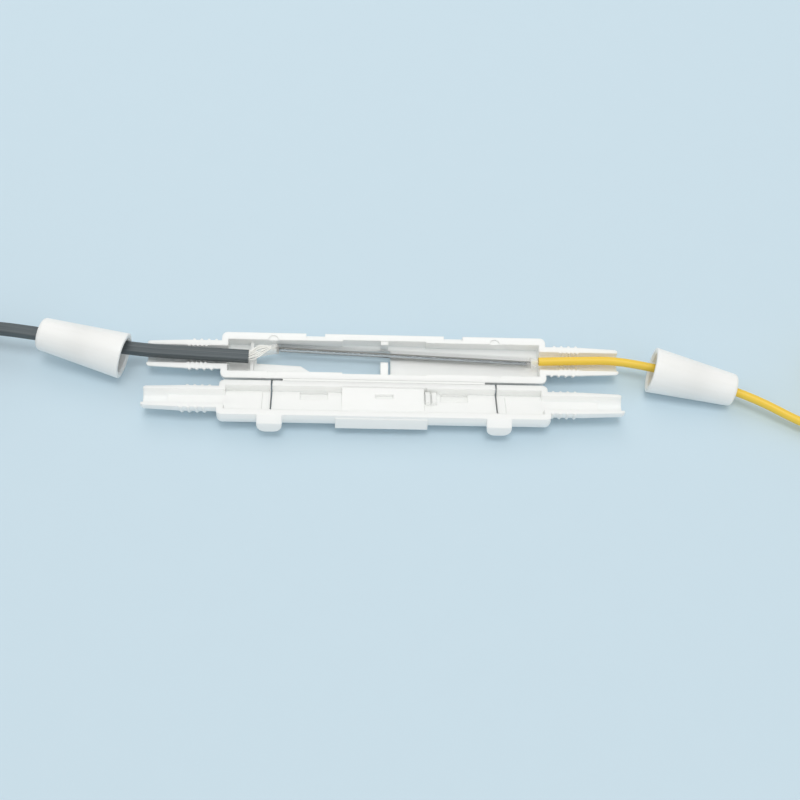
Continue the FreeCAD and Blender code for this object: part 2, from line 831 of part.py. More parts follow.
def hank(name, middle, run, bend, pitch, layer):
    """The outer shape of a hank lying flat: a straight middle with a round loop at each end, and its tie."""
    body = new_body(name + "_hank")
    half_run = run * 0.5
    reach = bend + pitch * 0.5
    height = layer * dim.hank_layers
    straight = sketch_on(body, "XY_Plane", "straight_plan")
    rectangle(straight, -half_run, half_run, -reach, reach)
    pad(body, "straight", straight, height)
    for end, x in (("left", -half_run), ("right", half_run)):
        loop = sketch_on(body, "XY_Plane", end + "_loop_plan")
        circle(loop, x, 0, reach)
        pad(body, end + "_loop", loop, height)
    place = Placement(on_hinge_line(middle[0], middle[1], dim.hank_lift.value), Rotation())
    body.Placement = place

    tie = new_body(name + "_tie")
    inside = Size.of(0.02)
    thick = dim.tie_thickness
    band = sketch_on(tie, "YZ_Plane", "band_section", -dim.tie_length * 0.5)
    outside = inside + thick
    rectangle(band, -reach - outside, reach + outside, -outside, height + outside)
    rectangle(band, -reach - inside, reach + inside, -inside, height + inside)
    pad(tie, "band", band, dim.tie_length)
    tie.Placement = place
    return place.Base.z + height.value + inside.value + thick.value


def connector(name, place):
    """A push-pull fibre connector: housing with grip grooves and a nose, strain-relief boot and ferrule."""
    housing = new_body(name + "_connector_housing")
    half_width = dim.connector_width * 0.5
    half_height = dim.connector_height * 0.5
    section = sketch_on(housing, "YZ_Plane", "housing_section")
    rectangle(section, -half_width, half_width, -half_height, half_height)
    block = pad(housing, "block", section, dim.connector_length)

    def lengthwise(edge):
        return abs(edge.Length - dim.connector_length.value) < 1e-6

    round_edges(housing, "edge_chamfers", block, dim.connector_chamfer, lengthwise, "Chamfer")
    nose = sketch_on(housing, "YZ_Plane", "nose_section", dim.connector_length)
    half_nose = dim.nose_width * 0.5
    nose_height = dim.nose_height * 0.5
    rectangle(nose, -half_nose, half_nose, -nose_height, nose_height)
    pad(housing, "nose", nose, dim.nose_length)
    bore = sketch_on(housing, "YZ_Plane", "ferrule_bore", dim.connector_length + dim.nose_length)
    circle(bore, 0, 0, dim.ferrule_radius + dim.bore_clearance)
    pocket(housing, "ferrule_hole", bore, dim.connector_length * 0.5)
    grips = sketch_on(housing, "XY_Plane", "grip_plan")
    for groove in range(6):
        start = dim.grip_pitch * (groove + 1)
        for low in (-half_width - 1, half_width - dim.grip_depth):
            rectangle(grips, start, start + dim.grip_length, low, low + dim.grip_depth + 1)
    grooves = pocket(housing, "grip_grooves", grips)
    grooves.Midplane = True
    housing.Placement = place

    boot = new_body(name + "_connector_boot")
    profile = sketch_on(boot, "XY_Plane", "boot_section")
    length = dim.boot_length
    bore = dim.boot_bore_radius
    bore_end = dim.boot_bore_depth - length
    root = -dim.bore_clearance
    points = [(bore_end, 0), (root, 0), (root, dim.boot_root_radius)]
    for ring in range(1, 5):
        x = -dim.boot_ring_pitch * ring
        share = dim.boot_ring_pitch * ring
        radius = dim.boot_root_radius - share * 0.045
        points += [
            (x, radius),
            (x, radius - dim.boot_ring_depth),
            (x - dim.boot_ring_pitch * 0.35, radius - dim.boot_ring_depth),
            (x - dim.boot_ring_pitch * 0.35, radius - 0.05),
        ]
    points += [(-length, dim.boot_tip_radius), (-length, bore), (bore_end, bore)]
    outline(profile, points)
    turned(boot, "Revolution", "boot", profile)
    boot.Placement = place

    ferrule = new_body(name + "_connector_ferrule")
    stick = sketch_on(ferrule, "XY_Plane", "ferrule_section")
    back = dim.connector_length * 0.5 + dim.nose_length + 0.1
    front = dim.connector_length + dim.nose_length + dim.ferrule_reach
    radius = dim.ferrule_radius
    bevel = dim.ferrule_chamfer
    stem = dim.ferrule_stem_radius
    face = dim.connector_length + dim.nose_length
    profile_points = [(back, 0), (back, stem), (face, stem), (face, radius)]
    profile_points += [(front - bevel, radius), (front, radius - bevel), (front, 0)]
    outline(stick, profile_points)
    turned(ferrule, "Revolution", "ferrule", stick)
    ferrule.Placement = place


def cable_end(name, middle, run, bend, pitch, layer, outward, section):
    """The hank, the lead that climbs out of its loop, and the connector lying on it, facing outwards."""
    top = hank(name, middle, run, bend, pitch, layer)
    axis_height = top + dim.connector_height.value / 2 + 0.05
    start_height = dim.hank_lift.value + layer.value * (dim.hank_layers.value - 0.5)
    side = outward
    outer_run = bend.value
    axis_run = -8.0
    loop_middle = middle[1] + side * (outer_run + axis_run) / 2
    loop_width = (outer_run - axis_run) / 2
    loop_length = bend.value - 1.5
    centre_x = middle[0] - outward * run.value / 2
    steps = 7
    rise = (axis_height - start_height) / (steps + 1)
    route = [(centre_x + outward * 1.5, middle[1] + side * outer_run, start_height)]
    for step in range(steps):
        angle = math.radians(15 + 25 * step)
        x = centre_x - outward * loop_length * math.sin(angle)
        y = loop_middle + side * loop_width * math.cos(angle)
        route.append((x, y, start_height + rise * (step + 1)))
    axis_y = middle[1] + side * axis_run
    route.append((centre_x + outward * 2.0, axis_y, axis_height))
    route.append((centre_x + outward * 6.9, axis_y, axis_height))
    cable(name + "_lead", [on_hinge_line(*point) for point in route], section)
    back_x = centre_x + outward * (4.6 + dim.boot_length.value)
    heading = Rotation(Vector(0, 0, 1), 180 if outward < 0 else 0)
    connector(name, Placement(on_hinge_line(back_x, axis_y, axis_height), heading))


# The whole assembly

base_half()
lid_half()
film_hinge()
screw_cap("left_cap", on_hinge_line(-60.15, 4.485, 5.4), on_hinge_line(-79.53, 8.875, 7.66))
lying_cap("right_cap", (62.69, 3.675), (81.44, -0.625))
splice_sleeve()
cables()
cable_end(
    "drop", DROP_HANK, dim.drop_hank_run, dim.drop_hank_bend, dim.drop_thickness, dim.drop_width, -1,
    flat_section(dim.drop_thickness.value, dim.drop_width.value, dim.drop_corner.value),
)
cable_end(
    "pigtail", PIGTAIL_HANK, dim.pigtail_hank_run, dim.pigtail_hank_bend, dim.pigtail_radius * 2,
    dim.pigtail_radius * 2, 1, round_section(dim.pigtail_radius.value),
)
doc.recompute()

for item in doc.Objects:
    if "Invalid" in item.State or "Error" in item.State:
        raise RuntimeError(f"{item.Name} failed: {item.State}")
for item in subparts:
    if item.Shape.isNull() or not item.Shape.isValid():
        raise RuntimeError(f"{item.Label} has no valid shape")

os.makedirs("parts", exist_ok=True)
for item in subparts:
    item.Shape.exportStep(f"parts/{item.Label}.step")
print(len(subparts), "parts written")
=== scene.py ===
"""Looks of a drop cable splice protector lying open, with its splice, caps, cables, hanks and connectors."""

import logging
import math
from dataclasses import dataclass
from enum import Enum
from typing import Any

import bpy
import numpy as np
from mathutils import Matrix, Vector


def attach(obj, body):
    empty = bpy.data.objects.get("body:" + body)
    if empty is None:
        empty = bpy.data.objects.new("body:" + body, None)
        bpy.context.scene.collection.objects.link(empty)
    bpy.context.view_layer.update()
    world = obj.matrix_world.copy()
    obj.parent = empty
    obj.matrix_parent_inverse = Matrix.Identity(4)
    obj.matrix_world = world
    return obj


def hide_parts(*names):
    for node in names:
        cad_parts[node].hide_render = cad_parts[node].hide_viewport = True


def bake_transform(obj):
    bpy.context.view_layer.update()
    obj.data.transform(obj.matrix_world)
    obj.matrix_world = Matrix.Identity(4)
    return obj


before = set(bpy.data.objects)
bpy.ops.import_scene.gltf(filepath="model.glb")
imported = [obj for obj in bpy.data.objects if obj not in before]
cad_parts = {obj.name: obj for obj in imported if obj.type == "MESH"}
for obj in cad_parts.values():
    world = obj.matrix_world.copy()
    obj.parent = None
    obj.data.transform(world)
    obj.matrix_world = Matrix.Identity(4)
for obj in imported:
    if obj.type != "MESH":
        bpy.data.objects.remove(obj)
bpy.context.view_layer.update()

log = logging.getLogger("splice_protector")

MM = 0.001
# Middle of the film hinge, from which the photograph's view and the cable routes are measured, in millimetres
HINGE = np.array((-1.281, 0.609, 3.7))
# How far the base is tilted at rest, and how far the middle of its rim is from the hinge line
REST_TILT = math.radians(13.4)
BASE_MIDDLE = 5.965
UP = np.array((0.0, 0.0, 1.0))
# Edges that turn by more than this are shaded sharp
SHARP_ANGLE = math.radians(32)
# Order of the splines that smooth a route
SPLINE_ORDER = 3


class Body(Enum):
    """The bodies that move on their own."""

    BASE = "base"
    LID = "lid"
    LEFT_CAP = "left_cap"
    RIGHT_CAP = "right_cap"


class Stiffness(Enum):
    """How much a cable resists bending."""

    MEDIUM = "medium"
    STIFF = "stiff"


class LampKind(Enum):
    """A far lamp with nearly parallel light, or a flat soft box."""

    SUN = "SUN"
    BOX = "AREA"


class Coords(Enum):
    """What a pattern follows: the piece's place, or the map that runs along it."""

    OBJECT = "Object"
    ALONG = "UV"


# Places


def on_hinge_line(points: Any) -> np.ndarray:
    """Points given from the hinge line, with heights above the table, in metres of the frame.

    Args:
        points: rows of x, y and height in millimetres.

    Returns:
        The same rows in metres.
    """
    shift = np.array((HINGE[0], HINGE[1], 0.0))
    return (np.asarray(points, float).reshape(-1, 3) + shift) * MM


def in_base(points: Any) -> np.ndarray:
    """Points of the base half's own frame, turned by its tilt about the hinge line.

    Args:
        points: rows of x, y and z in millimetres, from the middle of the base's rim plane.

    Returns:
        The same rows in metres of the frame.
    """
    own = np.asarray(points, float).reshape(-1, 3) + (0.0, BASE_MIDDLE, 0.0)
    cos, sin = math.cos(REST_TILT), math.sin(REST_TILT)
    x, y, z = own.T
    tilted = np.stack([x, y * cos - z * sin, y * sin + z * cos], 1)
    return (tilted + HINGE) * MM


# Colours and nodes


def linear(hex_colour: str) -> tuple[float, float, float, float]:
    """Turn an sRGB hex value into linear red, green, blue and alpha, by the standard's straight foot and power.

    Args:
        hex_colour: six hex digits after a hash sign.

    Returns:
        Four numbers for a colour socket.
    """
    parts = [int(hex_colour[i : i + 2], 16) / 255 for i in (1, 3, 5)]
    red, green, blue = (c / 12.92 if c <= 0.04045 else ((c + 0.055) / 1.055) ** 2.4 for c in parts)
    return red, green, blue, 1.0


def add_node(tree: Any, kind: str, settings: dict | None = None, links: dict | None = None) -> Any:
    """Add a shader node, set its sockets or properties and link its inputs.

    Args:
        tree: the node tree.
        kind: the node's type name.
        settings: values by input socket, named or numbered, or by property.
        links: a node and its output by input socket.

    Returns:
        The node.
    """
    node = tree.nodes.new(kind)
    for key, value in (settings or {}).items():
        if isinstance(key, int) or key in node.inputs:
            node.inputs[key].default_value = value
        else:
            setattr(node, key, value)
    for key, (source, output) in (links or {}).items():
        tree.links.new(source.outputs[output], node.inputs[key])
    return node


# Sockets of a mix node that mixes colours
MIX_FACTOR, MIX_FIRST, MIX_SECOND, MIX_RESULT = 0, 6, 7, 2
# Nearly all of a noise's values lie between these
NOISE_LOW, NOISE_HIGH = 0.3, 0.7
# Finer layers in the slow clouds and in the grain
CLOUD_DETAIL, GRAIN_DETAIL = 3.0, 2.0
# The glossiest that any surface gets
LEAST_ROUGHNESS = 0.02
# How many rays find the rounded edges
EDGE_SAMPLES = 6


def spread(tree: Any, noise: Any, low: float, high: float) -> Any:
    """Add a node that spreads a noise over a range.

    Args:
        tree: the node tree.
        noise: the noise node.
        low: where its low values go.
        high: where its high values go.

    Returns:
        The node.
    """
    return add_node(
        tree,
        "ShaderNodeMapRange",
        {"From Min": NOISE_LOW, "From Max": NOISE_HIGH, "To Min": low, "To Max": high},
        {"Value": (noise, 0)},
    )


@dataclass(frozen=True)
class Finish:
    """A material and how its surface was made: slow clouds of a second tone, a fine grain and its gloss."""

    name: str
    colour: str
    second: str
    roughness: float
    ior: float = 1.5
    metallic: float = 0.0
    subsurface: float = 0.0
    subsurface_mm: float = 0.6
    alpha: float = 1.0
    sheen: float = 0.0
    cloud_mm: tuple[float, float, float] = (8.0, 8.0, 8.0)
    cloud_share: float = 0.6
    grain_mm: tuple[float, float, float] = (0.35, 0.35, 0.35)
    grain_depth_mm: float = 0.004
    roughness_swing: float = 0.06
    edge_mm: float = 0.0
    coords: Coords = Coords.OBJECT

    def mapping(self, tree: Any, size_mm: tuple[float, float, float]) -> Any:
        """Add a mapping on which a pattern's cells have real sizes along the three axes.

        Args:
            tree: the node tree.
            size_mm: cell sizes in millimetres.

        Returns:
            The mapping node.
        """
        source = add_node(tree, "ShaderNodeTexCoord")
        scale = tuple(1.0 / (size * MM) for size in size_mm)
        return add_node(tree, "ShaderNodeMapping", {"Scale": scale}, {"Vector": (source, self.coords.value)})

    def noise(self, tree: Any, size_mm: tuple[float, float, float], detail: float) -> Any:
        """Add a noise whose cells have real sizes along the three axes.

        Args:
            tree: the node tree.
            size_mm: cell sizes in millimetres.
            detail: how many finer layers it has.

        Returns:
            The noise node.
        """
        mapping = self.mapping(tree, size_mm)
        return add_node(tree, "ShaderNodeTexNoise", {"Scale": 1.0, "Detail": detail}, {"Vector": (mapping, 0)})

    def height(self, tree: Any) -> Any:
        """Add the pattern that raises the surface, with its height as the first output."""
        return self.noise(tree, self.grain_mm, GRAIN_DETAIL)

    def material(self) -> bpy.types.Material:
        """Build the material.

        Returns:
            The material, made once under its name.
        """
        found = bpy.data.materials.get(self.name)
        if found:
            return found
        made = bpy.data.materials.new(self.name)
        made.use_nodes = True
        tree = made.node_tree
        tree.nodes.clear()
        cloud = self.noise(tree, self.cloud_mm, CLOUD_DETAIL)
        share = spread(tree, cloud, 0.0, self.cloud_share)
        tones = add_node(
            tree,
            "ShaderNodeMix",
            {"data_type": "RGBA", MIX_FIRST: linear(self.colour), MIX_SECOND: linear(self.second)},
            {MIX_FACTOR: (share, 0)},
        )
        smoothest = max(LEAST_ROUGHNESS, self.roughness - self.roughness_swing)
        roughest = min(1.0, self.roughness + self.roughness_swing)
        gloss = spread(tree, cloud, smoothest, roughest)
        grain = add_node(
            tree,
            "ShaderNodeBump",
            {"Strength": 1.0, "Distance": self.grain_depth_mm * MM},
            {"Height": (self.height(tree), 0)},
        )
        if self.edge_mm:
            edges = add_node(tree, "ShaderNodeBevel", {"samples": EDGE_SAMPLES, "Radius": self.edge_mm * MM})
            tree.links.new(edges.outputs[0], grain.inputs["Normal"])
        radius = (self.subsurface_mm * MM,) * 3
        shader = add_node(
            tree,
            "ShaderNodeBsdfPrincipled",
            {
                "Metallic": self.metallic,
                "IOR": self.ior,
                "Alpha": self.alpha,
                "Subsurface Weight": self.subsurface,
                "Subsurface Radius": radius,
                "Subsurface Scale": 1.0,
                "Sheen Weight": self.sheen,
            },
            {"Base Color": (tones, MIX_RESULT), "Roughness": (gloss, 0), "Normal": (grain, 0)},
        )
        add_node(tree, "ShaderNodeOutputMaterial", None, {"Surface": (shader, 0)})
        return made


@dataclass(frozen=True)
class Woven(Finish):
    """A woven band: threads across and along, as the higher of two waves on the map along the band."""

    thread_mm: float = 0.7
    wave_scale: float = 0.5
    wander: float = 0.3

    def height(self, tree: Any) -> Any:
        """Add the weave, the higher of two sets of rounded threads at right angles.

        Args:
            tree: the node tree.

        Returns:
            The node with the height as its first output.
        """
        mapping = self.mapping(tree, (self.thread_mm,) * 3)
        weft, warp = (
            add_node(
                tree,
                "ShaderNodeTexWave",
                {"bands_direction": way, "Scale": self.wave_scale, "Distortion": self.wander},
                {"Vector": (mapping, 0)},
            )
            for way in ("X", "Y")
        )
        return add_node(tree, "ShaderNodeMath", {"operation": "MAXIMUM"}, {0: (weft, 1), 1: (warp, 1)})


# Injection-moulded ABS: clean satin white that lets a little light in, with soft flow clouds and rounded edges
WHITE_ABS = Finish(
    "moulded_white_abs", "#FCFDFB", "#F8FAF7", 0.34, subsurface=0.5, subsurface_mm=2.0,
    cloud_mm=(14.0, 6.0, 6.0), grain_mm=(0.5, 0.5, 0.5), edge_mm=0.2,
)
# The same plastic at the film hinge, too thin to hold light in: plain satin white, painted a shade darker than the
# shell's white to dim the light along the hinge
SHADED_WHITE_FILM = Finish("bent_white_film_painted_shade", "#F6F7F5", "#F1F3F0", 0.4, cloud_mm=(14.0, 1.0, 1.0))
# Moulded polypropylene of the caps: slightly warmer and waxier, with faint draw lines along the cone
WHITE_PP = Finish(
    "moulded_white_polypropylene", "#FCFCFA", "#F7F7F3", 0.38, subsurface=0.45, subsurface_mm=1.8,
    coords=Coords.ALONG, cloud_mm=(9.0, 1.2, 9.0), grain_mm=(3.0, 0.35, 1.0), grain_depth_mm=0.005,
)
# Shrunk polyolefin tube: so clear that little more than its gloss shows, with its heat streaks lengthwise
CLEAR_SHRINK = Finish(
    "shrunk_clear_polyolefin", "#F4F8F8", "#ECF2F2", 0.1, alpha=0.025, cloud_mm=(6.0, 0.6, 0.6),
    grain_mm=(4.0, 0.5, 0.5), grain_depth_mm=0.01,
)
# Melted and set ethylene copolymer: clear with a breath of milk, and soft lumps
HOT_MELT = Finish(
    "set_hot_melt", "#F3F5F0", "#E8ECE4", 0.25, alpha=0.01, cloud_mm=(4.0, 1.0, 1.0),
    grain_mm=(2.0, 0.8, 0.8), grain_depth_mm=0.01,
)
# The sleeve's ends, drawn in by the heat: thicker and a little milky, with the strands showing through
MILKY_SHRINK = Finish(
    "shrunk_milky_polyolefin", "#FEFEFB", "#F8F7F0", 0.22, alpha=0.3, cloud_mm=(1.5, 0.6, 0.6),
    grain_mm=(0.8, 0.5, 0.5), grain_depth_mm=0.02, coords=Coords.ALONG,
)
# Loose aramid strands of the cable's strength member: off-white, matt
ARAMID = Finish(
    "drawn_aramid", "#FEFEFB", "#F8F7EF", 0.5, sheen=0.2, coords=Coords.ALONG, grain_mm=(2.0, 0.05, 1.0),
)
# Ground steel: bright on top and dark along its underside, with faint cloudy lengths
GROUND_STEEL = Finish(
    "ground_steel", "#CDD0D1", "#B6BABC", 0.12, metallic=1.0, cloud_mm=(6.0, 1.0, 1.0),
    grain_mm=(0.3, 1.0, 1.0), grain_depth_mm=0.0004, roughness_swing=0.03,
)
# Acrylate-coated glass fibre: near-clear, glossy
COATED_FIBRE = Finish("coated_glass_fibre", "#F2F3EC", "#E6E9DE", 0.18, alpha=0.35)
# Extruded tight buffer: milky, matt
TIGHT_BUFFER = Finish("extruded_buffer", "#F3EFD8", "#EAE4C4", 0.4, subsurface=0.1)
# Extruded black polyethylene: slate in the light, with die lines along the cable
BLACK_PE = Finish(
    "extruded_black_polyethylene", "#434A4D", "#5E6669", 0.42, coords=Coords.ALONG,
    cloud_mm=(30.0, 0.5, 1.0), grain_mm=(12.0, 0.22, 1.0), grain_depth_mm=0.02, cloud_share=0.8,
)
# Extruded yellow PVC: bright golden yellow, satin, with faint die lines
YELLOW_PVC = Finish(
    "extruded_yellow_pvc", "#F6D048", "#F2C838", 0.36, subsurface=0.06, coords=Coords.ALONG,
    cloud_mm=(25.0, 0.8, 1.0), grain_mm=(10.0, 0.3, 1.0), grain_depth_mm=0.01,
)
# Woven nylon band of the ties: charcoal and matt, with a visible weave
NYLON_TIE = Woven(
    "woven_black_nylon", "#26282A", "#34373A", 0.75, sheen=0.3, coords=Coords.ALONG,
    cloud_mm=(6.0, 6.0, 6.0), grain_depth_mm=0.12,
)
# Moulded polyester of the connectors, a satin mid green, and the softer, duller elastomer of their boots
GREEN_PBT = Finish("moulded_green_polyester", "#2E8B57", "#287C4D", 0.36, grain_depth_mm=0.008)
GREEN_RUBBER = Finish("moulded_green_elastomer", "#2F7D52", "#296F48", 0.6, grain_depth_mm=0.015)
# Polished zirconia of the ferrules: warm white with a hard gloss
ZIRCONIA = Finish("polished_zirconia", "#F4F2EC", "#EEEAE0", 0.08, ior=2.1, grain_depth_mm=0.0005)


# Meshes


def grid_mesh(
    name: str,
    grid: np.ndarray,
    along: np.ndarray,
    across: np.ndarray,
    loop_along: bool = False,
    cap_ends: bool = False,
) -> bpy.types.Mesh:
    """Join a grid of points, closed across, into quads with a map in metres.

    Args:
        name: the mesh's name.
        grid: points by row and column, in metres.
        along: map distance of each row, with one more when the rows close into a ring.
        across: map distance of each column, with one more for the seam.
        loop_along: the last row joins the first.
        cap_ends: the first and last rows get a flat end.

    Returns:
        The mesh, smooth with sharp creases.
    """
    rows, columns = grid.shape[:2]
    count = rows if loop_along else rows - 1
    i, j = np.meshgrid(np.arange(count), np.arange(columns), indexing="ij")
    below, beside = (i + 1) % rows, (j + 1) % columns
    here, ahead = i * columns, below * columns
    quads = np.stack([here + j, here + beside, ahead + beside, ahead + j], -1)
    faces = quads.reshape(-1, 4).tolist()
    u = np.stack([along[i], along[i], along[i + 1], along[i + 1]], -1)
    v = np.stack([across[j], across[j + 1], across[j + 1], across[j]], -1)
    uv = np.stack([u, v], -1).reshape(-1, 2)
    if cap_ends:
        row = np.arange(columns)
        faces += [row[::-1].tolist(), (row + (rows - 1) * columns).tolist()]
        uv = np.concatenate([uv, np.zeros((2 * columns, 2))])
    mesh = bpy.data.meshes.new(name)
    mesh.from_pydata(grid.reshape(-1, 3).tolist(), [], faces)
    layer = mesh.uv_layers.new(name="along")
    layer.data.foreach_set("uv", uv.astype(np.float32).ravel())
    return smooth(mesh)


def smooth(mesh: bpy.types.Mesh) -> bpy.types.Mesh:
    """Shade a mesh smooth, apart from its creases.

    Args:
        mesh: the mesh.

    Returns:
        The same mesh.
    """
    mesh.polygons.foreach_set("use_smooth", np.ones(len(mesh.polygons), bool))
    mesh.set_sharp_from_angle(angle=SHARP_ANGLE)
    mesh.update()
    return mesh


def lengths(points: np.ndarray) -> np.ndarray:
    """Distance along a line of points at each point."""
    return np.concatenate([[0.0], np.cumsum(np.linalg.norm(np.diff(points, axis=0), axis=1))])


def carried(
    name: str,
    path: np.ndarray,
    profile: np.ndarray,
    turn: np.ndarray | float = 0.0,
    size: np.ndarray | float = 1.0,
) -> bpy.types.Mesh:
    """Carry a closed profile along a path, upright but for a turn about the path.

    A grid point is path + profile x times the side direction + profile y times the up direction, where the side
    lies level across the path, and both are rotated by the turn and scaled by the size at that row.

    Args:
        name: the mesh's name.
        path: points in metres.
        profile: closed outline in metres, counter-clockwise as seen from ahead.
        turn: angle at each point, in radians.
        size: share of the profile at each point.

    Returns:
        The mesh, with flat ends and a map of length by girth.
    """
    heading = np.gradient(path, axis=0)
    heading /= np.linalg.norm(heading, axis=1, keepdims=True)
    side = np.cross(UP, heading)
    side /= np.linalg.norm(side, axis=1, keepdims=True)
    top = np.cross(heading, side)
    cos = np.cos(np.broadcast_to(turn, len(path)))[:, None]
    sin = np.sin(np.broadcast_to(turn, len(path)))[:, None]
    scale = np.broadcast_to(size, len(path))[:, None]
    x_way, y_way = (side * cos + top * sin) * scale, (top * cos - side * sin) * scale
    grid = path[:, None] + profile[None, :, :1] * x_way[:, None] + profile[None, :, 1:] * y_way[:, None]
    girth = lengths(np.concatenate([profile, profile[:1]]))
    return grid_mesh(name, grid, lengths(path), girth, cap_ends=True)


def ring(radius: float, columns: int = 28) -> np.ndarray:
    """A circle as a closed outline in metres, counter-clockwise.

    Args:
        radius: its radius in millimetres.
        columns: how many points.

    Returns:
        Rows of x and y.
    """
    angle = np.linspace(0, 2 * np.pi, columns, endpoint=False)
    return np.stack([np.cos(angle), np.sin(angle)], 1) * radius * MM


def turned(
    name: str, profile: np.ndarray, start: np.ndarray, axis: np.ndarray, columns: int
) -> bpy.types.Mesh:
    """Turn a closed section about an axis.

    A grid point is start + x times the axis + r times the direction at its angle. The section's r may hold one
    value for each angle, which is how a thread winds.

    Args:
        name: the mesh's name.
        profile: x by row, then r by row and column, in metres, going round the section.
        start: where x is zero.
        axis: unit direction of x.
        columns: how many angles.

    Returns:
        The ring-shaped mesh.
    """
    x, r = profile[:, 0], profile[:, 1:]
    angle = np.linspace(0, 2 * np.pi, columns, endpoint=False)
    first = np.cross(UP, axis)
    first /= np.linalg.norm(first)
    second = np.cross(axis, first)
    spoke = np.cos(angle)[:, None] * first + np.sin(angle)[:, None] * second
    grid = start + x[:, None, None] * axis + r[..., None] * spoke[None]
    section = np.stack([x, r.mean(1)], 1)
    along = lengths(np.concatenate([section, section[:1]]))
    across = np.linspace(0, 2 * np.pi * r.max(), columns + 1)
    return grid_mesh(name, grid, along, across, loop_along=True)


def place(mesh: bpy.types.Mesh, finish: Finish, body: Body | None) -> bpy.types.Object:
    """Put a mesh in the scene as a piece.

    Args:
        mesh: the mesh, in the frame.
        finish: its finish.
        body: the body it rides on, or None where it bends between two.

    Returns:
        The piece.
    """
    piece = bpy.data.objects.new(mesh.name, mesh)
    bpy.context.scene.collection.objects.link(piece)
    mesh.materials.clear()
    mesh.materials.append(finish.material())
    if body:
        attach(piece, body.value)
    log.info("%s: %d faces, %s", mesh.name, len(mesh.polygons), finish.name)
    return piece


def dress(node: str, finish: Finish) -> None:
    """Give a node that stays its finish.

    Args:
        node: the node's name.
        finish: its finish.
    """
    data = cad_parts[node].data
    data.materials.clear()
    data.materials.append(finish.material())
    log.info("%s: node, %s", node, finish.name)


def nurbs_line(points: np.ndarray, resolution: int) -> np.ndarray:
    """Points along the smooth spline that has a route as its control points.

    Args:
        points: the route in metres.
        resolution: how many points for each control point.

    Returns:
        Points on the spline, from end to end.
    """
    curve = bpy.data.curves.new("route", "CURVE")
    curve.dimensions = "3D"
    curve.resolution_u = resolution
    spline = curve.splines.new("NURBS")
    spline.points.add(len(points) - 1)
    weighted = np.column_stack([points, np.ones(len(points))])
    spline.points.foreach_set("co", weighted.astype(np.float32).ravel())
    spline.order_u = SPLINE_ORDER
    spline.use_endpoint_u = True
    holder = bpy.data.objects.new("route", curve)
    mesh = bpy.data.meshes.new_from_object(holder)
    found = np.zeros(len(mesh.vertices) * 3, np.float32)
    mesh.vertices.foreach_get("co", found)
    bpy.data.objects.remove(holder)
    bpy.data.curves.remove(curve)
    bpy.data.meshes.remove(mesh)
    return found.reshape(-1, 3).astype(float)


# Sub-assemblies


@dataclass
class Shells:
    """The two half shells and the film hinge that joins them, in millimetres."""

    film_half_length: float = 23.5
    film_half_width: float = 0.3
    film_top: float = 0.1
    film_edge: float = 0.35
    film_middle: float = 0.22
    film_dip: float = 0.06
    film_columns: int = 17
    film_rows: int = 48

    def build(self) -> None:
        """Dress the shells and make the film."""
        for node in ("base_shell", "lid_shell"):
            dress(node, WHITE_ABS)
        self.film()

    def film(self) -> None:
        """Make a thin web whose section is thinner in the middle.

        With s going from -1 at one edge to 1 at the other, the top dips and the underside rises in proportion to
        one less the square of s.
        """
        share = np.linspace(-1, 1, self.film_columns)
        dip = 1 - share**2
        rise = self.film_edge - self.film_middle - self.film_dip
        top = -self.film_top - self.film_dip * dip
        low = -self.film_top - self.film_edge + rise * dip
        y = share * self.film_half_width
        section = np.concatenate([np.stack([y, low], 1), np.stack([y, top], 1)[::-1]])
        path = np.zeros((self.film_rows, 3))
        path[:, 0] = np.linspace(-self.film_half_length, self.film_half_length, len(path))
        path += HINGE
        mesh = carried("film_hinge", path * MM, section * MM)
        film = place(mesh, SHADED_WHITE_FILM, None)
        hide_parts("hinge_film")
        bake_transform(film)


